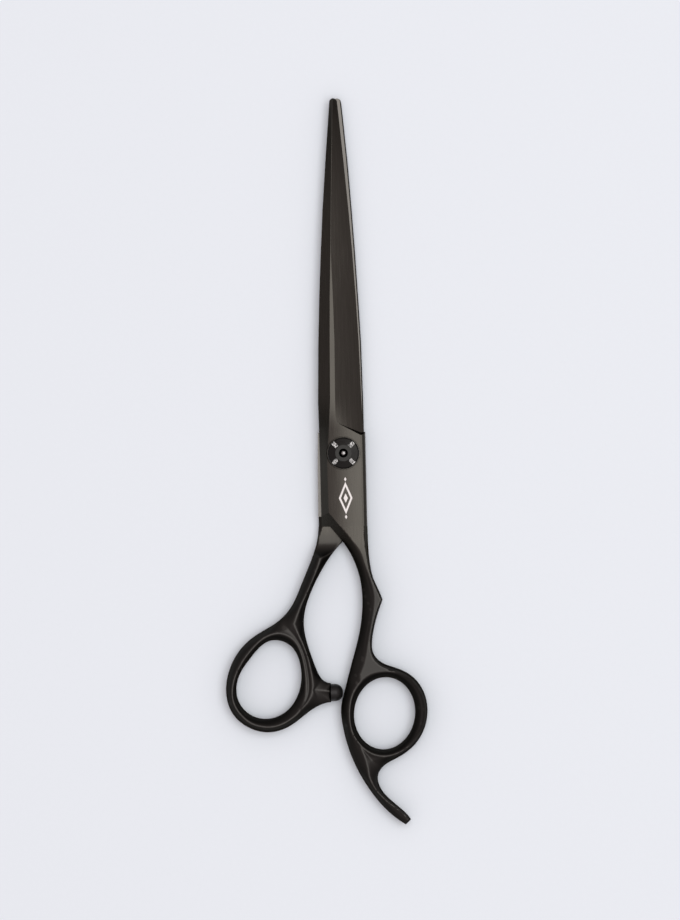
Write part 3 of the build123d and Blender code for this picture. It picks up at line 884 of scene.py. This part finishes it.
def stitch(name, points, triangles, links, upper, lower):
    """Join an upper and a lower side over the same plan into one closed mesh."""
    count = len(points)
    top = np.column_stack([points, upper])
    bottom = np.column_stack([points, lower])
    corners = triangles.tolist()
    faces = [tuple(t) for t in corners]
    faces += [(c + count, b + count, a + count) for a, b, c in corners]
    faces += [(b + count, b, a, a + count) for a, b in links]
    mesh = bpy.data.meshes.new(name)
    mesh.from_pydata((np.vstack([top, bottom]) * MM).tolist(), [], faces)
    mesh.validate()
    mesh.polygons.foreach_set("use_smooth", [True] * len(mesh.polygons))
    mesh.set_sharp_from_angle(angle=CREASE)
    skin = bpy.data.objects.new(name, mesh)
    bpy.context.scene.collection.objects.link(skin)
    report_mesh(skin)
    return skin


def report_mesh(piece):
    """Print a mesh's size and whether it is closed and faces outwards."""
    check = bmesh.new()
    check.from_mesh(piece.data)
    open_edges = sum(1 for edge in check.edges if len(edge.link_faces) != 2)
    volume = check.calc_volume(signed=True) / MM**3
    print(f"{piece.name}: {len(check.faces)} faces, {open_edges} open edges, {volume:.0f} cubic mm")
    check.free()


# %% [markdown]
# The two handles
#
# The finger handle's inner side is below, and the thumb handle's is above, because the halves lie face to
# face. Each skin stands in for its CAD handle, rides on the same body and takes the same slot.

# %% Make both handles
FINGER_CUT_Z = RIDE_Z + 0.3  # mm, where each handle's outline is read
THUMB_CUT_Z = RIDE_Z - 1.3


def ridge(points, closed=False):
    """Return a ridge line as a smooth row of points with heights."""
    return with_height(smooth_line(points, closed))


finger_facet = np.vstack(
    [
        smooth_line(FINGER_FACET_LEFT),
        smooth_line(FINGER_FACET_FOOT),
        smooth_line(FINGER_FACET_UPPER),
        smooth_line(FINGER_FACET_RIGHT),
    ]
)
finger_skin = handle_skin(
    "finger_handle_skin",
    "finger_handle",
    FINGER_CUT_Z,
    False,
    [(ridge(FINGER_RING, True), True), (ridge(REST_RIDGE), False)],
    [with_height(finger_facet)],
    [DIAGONAL_CREASE],
)
thumb_skin = handle_skin(
    "thumb_handle_skin",
    "thumb_handle",
    THUMB_CUT_Z,
    True,
    [
        (ridge(THUMB_SHANK_RIDGE), False),
        (ridge(THUMB_RING, True), True),
        (ridge(THUMB_SIDE_RIDGE), False),
        (ridge(BUMPER_BOSS_RIDGE), False),
    ],
    [],
    [HEEL_CREASE],
)
for skin, node_name, body_name in (
    (finger_skin, "finger_handle", "finger_half"),
    (thumb_skin, "thumb_handle", "thumb_half"),
):
    skin.data.materials.append(DRESS[node_name])
    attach(skin, body_name)
    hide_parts(node_name)

# %% [markdown]
# A printed ornament
#
# The panel carries a small white print. A plain geometric ornament stands there: a tall open rhombus with a
# solid one inside and one at each end. It is real ink with a real thickness, two hundredths of a millimetre,
# so it catches the light as a print does.

# %% Print the ornament on the finger half's panel
INK = 0.02  # mm
ORNAMENT_X = 0.35
ORNAMENT_Y = -12.9
OPEN_RHOMBUS = (1.95, 4.6)  # mm, half width and half height
RHOMBUS_HOLE = (1.38, 3.3)
SOLID_RHOMBUS = (0.62, 1.35)
END_RHOMBUS = (0.34, 0.62)
END_GAP = 5.4  # mm from the middle to each end


def rhombus(centre_y, half_width, half_height):
    """Return a rhombus's corners, anticlockwise from the right."""
    x, y = ORNAMENT_X, centre_y
    return [(x + half_width, y), (x, y + half_height), (x - half_width, y), (x, y - half_height)]


def ink_prism(sheet, outer, hole=None):
    """Add a flat prism with straight sides to a bmesh, with a hole if one is given."""
    def ring(points, z):
        return [sheet.verts.new((x * MM, y * MM, z * MM)) for x, y in points]

    low, high = ring(outer, TOP_Z), ring(outer, TOP_Z + INK)
    ends = [0, 1, 2, 3]
    for i in ends:
        j = (i + 1) % 4
        sheet.faces.new([low[i], low[j], high[j], high[i]])
    if hole is None:
        sheet.faces.new(high)
        sheet.faces.new(low[::-1])
        return
    hole_low, hole_high = ring(hole, TOP_Z), ring(hole, TOP_Z + INK)
    for i in ends:
        j = (i + 1) % 4
        sheet.faces.new([high[i], high[j], hole_high[j], hole_high[i]])
        sheet.faces.new([low[j], low[i], hole_low[i], hole_low[j]])
        sheet.faces.new([hole_low[j], hole_low[i], hole_high[i], hole_high[j]])


sheet = bmesh.new()
ink_prism(sheet, rhombus(ORNAMENT_Y, *OPEN_RHOMBUS), rhombus(ORNAMENT_Y, *RHOMBUS_HOLE))
ink_prism(sheet, rhombus(ORNAMENT_Y, *SOLID_RHOMBUS))
ink_prism(sheet, rhombus(ORNAMENT_Y + END_GAP, *END_RHOMBUS))
ink_prism(sheet, rhombus(ORNAMENT_Y - END_GAP, *END_RHOMBUS))
print_mesh = bpy.data.meshes.new("panel_ornament")
sheet.to_mesh(print_mesh)
sheet.free()
ornament = bpy.data.objects.new("panel_ornament", print_mesh)
bpy.context.scene.collection.objects.link(ornament)
report_mesh(ornament)
WHITE = (colour(0.72, 0.72, 0.7), colour(0.86, 0.86, 0.84))
white_ink = moulded("white_ink", *WHITE, roughness=0.35, grain=0.12, depth=0.004)
print_mesh.materials.append(white_ink)
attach(ornament, "finger_half")

# %% [markdown]
# The table, the light and the camera
#
# The shears lie on a plain pale table. One large softbox hangs over it, a little to the right, so the
# flats facing up shine and everything that slopes falls dark. The surround is a plain room, lighter
# towards the ceiling, so gentle slopes keep some light and steep ones are the darkest. The camera looks
# straight down through a long lens, which keeps the outlines true.

# %% Table
FLOOR_HALF = 4.0  # m
FLOOR_Z = -0.02 * MM  # just below the shears, so that no two faces coincide
PALE = colour(0.735, 0.812, 0.857)
PALER = colour(0.75, 0.827, 0.872)
PAPER_GRAIN = (1.2, 1.2, 1.2)  # mm
PAPER_ROUGH = 0.8
PAPER_SPECULAR = 0.1
floor_mesh = bpy.data.meshes.new("table_top")
corners = [(x * FLOOR_HALF, y * FLOOR_HALF, FLOOR_Z) for x, y in ((-1, -1), (1, -1), (1, 1), (-1, 1))]
floor_mesh.from_pydata(corners, [], [(0, 1, 2, 3)])
table_top = bpy.data.objects.new("table_top", floor_mesh)
bpy.context.scene.collection.objects.link(table_top)
paper = Finish("pale_paper")
fibres = grains(paper, place(paper), PAPER_GRAIN, 3.0)
tone = blend_colours(paper, fibres, PALE, PALER)
pale_paper = paper.surface(Base_Color=tone, Roughness=PAPER_ROUGH, Specular_IOR_Level=PAPER_SPECULAR)
floor_mesh.materials.append(pale_paper)

# %% Light
SOFTBOX_SIDE = 1.6  # m
SOFTBOX_RADIANCE = 2.65
SOFTBOX_PLACE = Vector((0.42, 0.15, 2.0))  # m
softbox = bpy.data.lights.new("softbox", "AREA")
softbox.shape = "RECTANGLE"
softbox.size = SOFTBOX_SIDE
softbox.size_y = SOFTBOX_SIDE
softbox.energy = SOFTBOX_RADIANCE * math.pi * SOFTBOX_SIDE**2
softbox_object = bpy.data.objects.new("softbox", softbox)
softbox_object.location = SOFTBOX_PLACE
bpy.context.scene.collection.objects.link(softbox_object)
print("softbox power", round(softbox.energy, 1), "W")

# %% Surround
WALLS = colour(0.2, 0.19, 0.185)
CEILING = colour(0.98, 0.84, 0.85)
WALL_TOP = 0.1  # how far up the surround starts to lighten, where 1 is straight up
room = Finish("surround", "worlds")
outward = room.node("TexCoord", output="Generated")
climb = room.node("SeparateXYZ", None, {0: outward}, "Z")
shade = room.node("ValToRGB", {"stops": [(WALL_TOP, WALLS), (1.0, CEILING)]}, {"Fac": climb}, "Color")
glow = room.node("Background", None, {"Color": shade})
bpy.context.scene.world = room.close("OutputWorld", glow)
bpy.context.scene.view_settings.view_transform = "Standard"

# %% Camera
AIM = Vector((-1.02, -1.96, 3.4)) * MM
VIEW_HEIGHT = 264.3 * MM  # height of the table that the picture shows
TILT = math.radians(-1.373)
LENS = 200.0  # mm
SENSOR = 36.0  # mm
camera = bpy.data.cameras.new("camera")
camera.lens = LENS
camera.sensor_width = SENSOR
camera.dof.use_dof = False
camera_object = bpy.data.objects.new("camera", camera)
distance = VIEW_HEIGHT * LENS / SENSOR
camera_object.location = AIM + Vector((0, 0, distance))
camera_object.rotation_euler = (0, 0, TILT)
bpy.context.scene.collection.objects.link(camera_object)
bpy.context.scene.camera = camera_object
print(f"camera {distance:.3f} m above the table")
